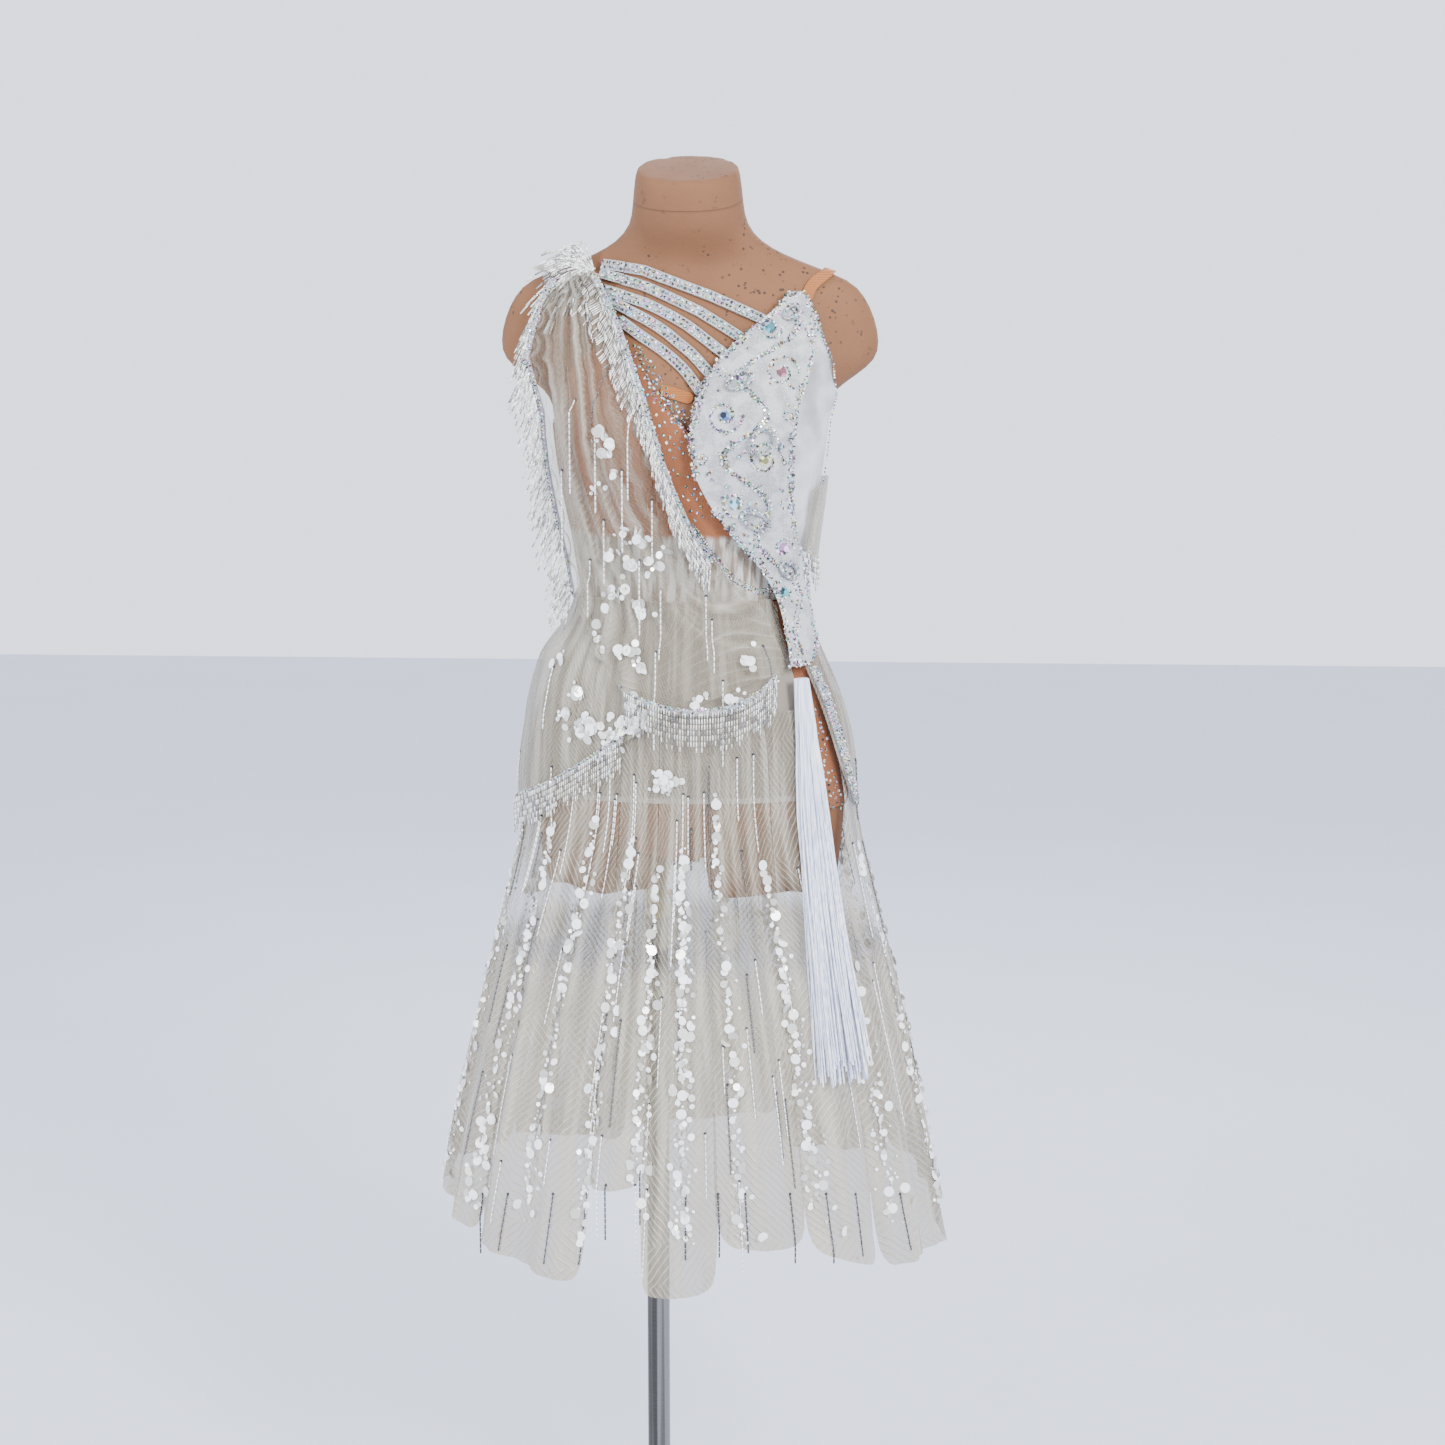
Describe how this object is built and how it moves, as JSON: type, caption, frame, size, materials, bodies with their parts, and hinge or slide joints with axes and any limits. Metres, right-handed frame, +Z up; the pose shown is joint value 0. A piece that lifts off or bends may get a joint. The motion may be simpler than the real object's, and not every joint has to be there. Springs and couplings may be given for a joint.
{
  "type": "ballroom competition dress on a dress form stand",
  "caption": "Sleeveless ballroom competition dress with a draped cowl, beaded fringe, a tassel and a slit gored skirt, worn by a limbless dress form on a pole stand.",
  "frame": {"origin": "centre of the underside of the stand's base, on the pole's axis, at the floor", "axes": "+Z up, -Y the way the dress faces, +X to the wearer's left"},
  "size_m": [0.5582, 0.4682, 1.5505],
  "materials": {
    "form_skin": "matt brown knit stretched over the dress form",
    "steel": "brushed",
    "base_steel": "satin grey",
    "spigot": "dull",
    "nude_mesh": "sheer burnt-orange stretch mesh",
    "nude_elastic": "flat tan elastic",
    "organza": "sheer ivory crinkled organza",
    "lining": "thin ivory lining",
    "satin": "white satin under sheer lace",
    "crystal": "glued crystal stones on braid",
    "bugle": "strings of glass bugle beads",
    "fringe_silk": "cool white silk"
  },
  "bodies": {
    "root": {"applique_base": "satin", "arm_fringe": "bugle", "back_panel": "organza", "bodice_mesh": "nude_mesh", "bra_band": "nude_elastic", "brief_back": "nude_mesh", "brief_front": "nude_mesh", "brief_gusset": "nude_mesh", "cowl_arm_trim": "crystal", "cowl_drape": "organza", "cowl_hem_trim": "crystal", "cowl_neck_trim": "crystal", "crystal_strap_1": "crystal", "crystal_strap_2": "crystal", "crystal_strap_3": "crystal", "crystal_strap_4": "crystal", "crystal_strap_5": "crystal", "cup_left": "satin", "dress_form": "form_skin", "hem_fringe": "bugle", "lining_front": "lining", "neck_fringe": "bugle", "scroll_ring_1": "crystal", "scroll_ring_2": "crystal", "scroll_ring_3": "crystal", "scroll_ring_4": "crystal", "scroll_ring_5": "crystal", "shoulder_back": "organza", "side_flutter": "organza", "skirt_gore_1": "organza", "skirt_gore_10": "organza", "skirt_gore_11": "organza", "skirt_gore_12": "organza", "skirt_gore_2": "organza", "skirt_gore_3": "organza", "skirt_gore_4": "organza", "skirt_gore_5": "organza", "skirt_gore_6": "organza", "skirt_gore_7": "organza", "skirt_gore_8": "organza", "skirt_gore_9": "organza", "slit_trim": "crystal", "stand_base": "base_steel", "stand_hub": "base_steel", "stand_pole": "steel", "stand_spigot": "spigot", "tan_strap": "nude_elastic", "tassel": "fringe_silk", "yoke_back": "organza", "yoke_fringe": "bugle", "yoke_front": "organza", "yoke_trim": "crystal"}
  },
  "joints": []
}
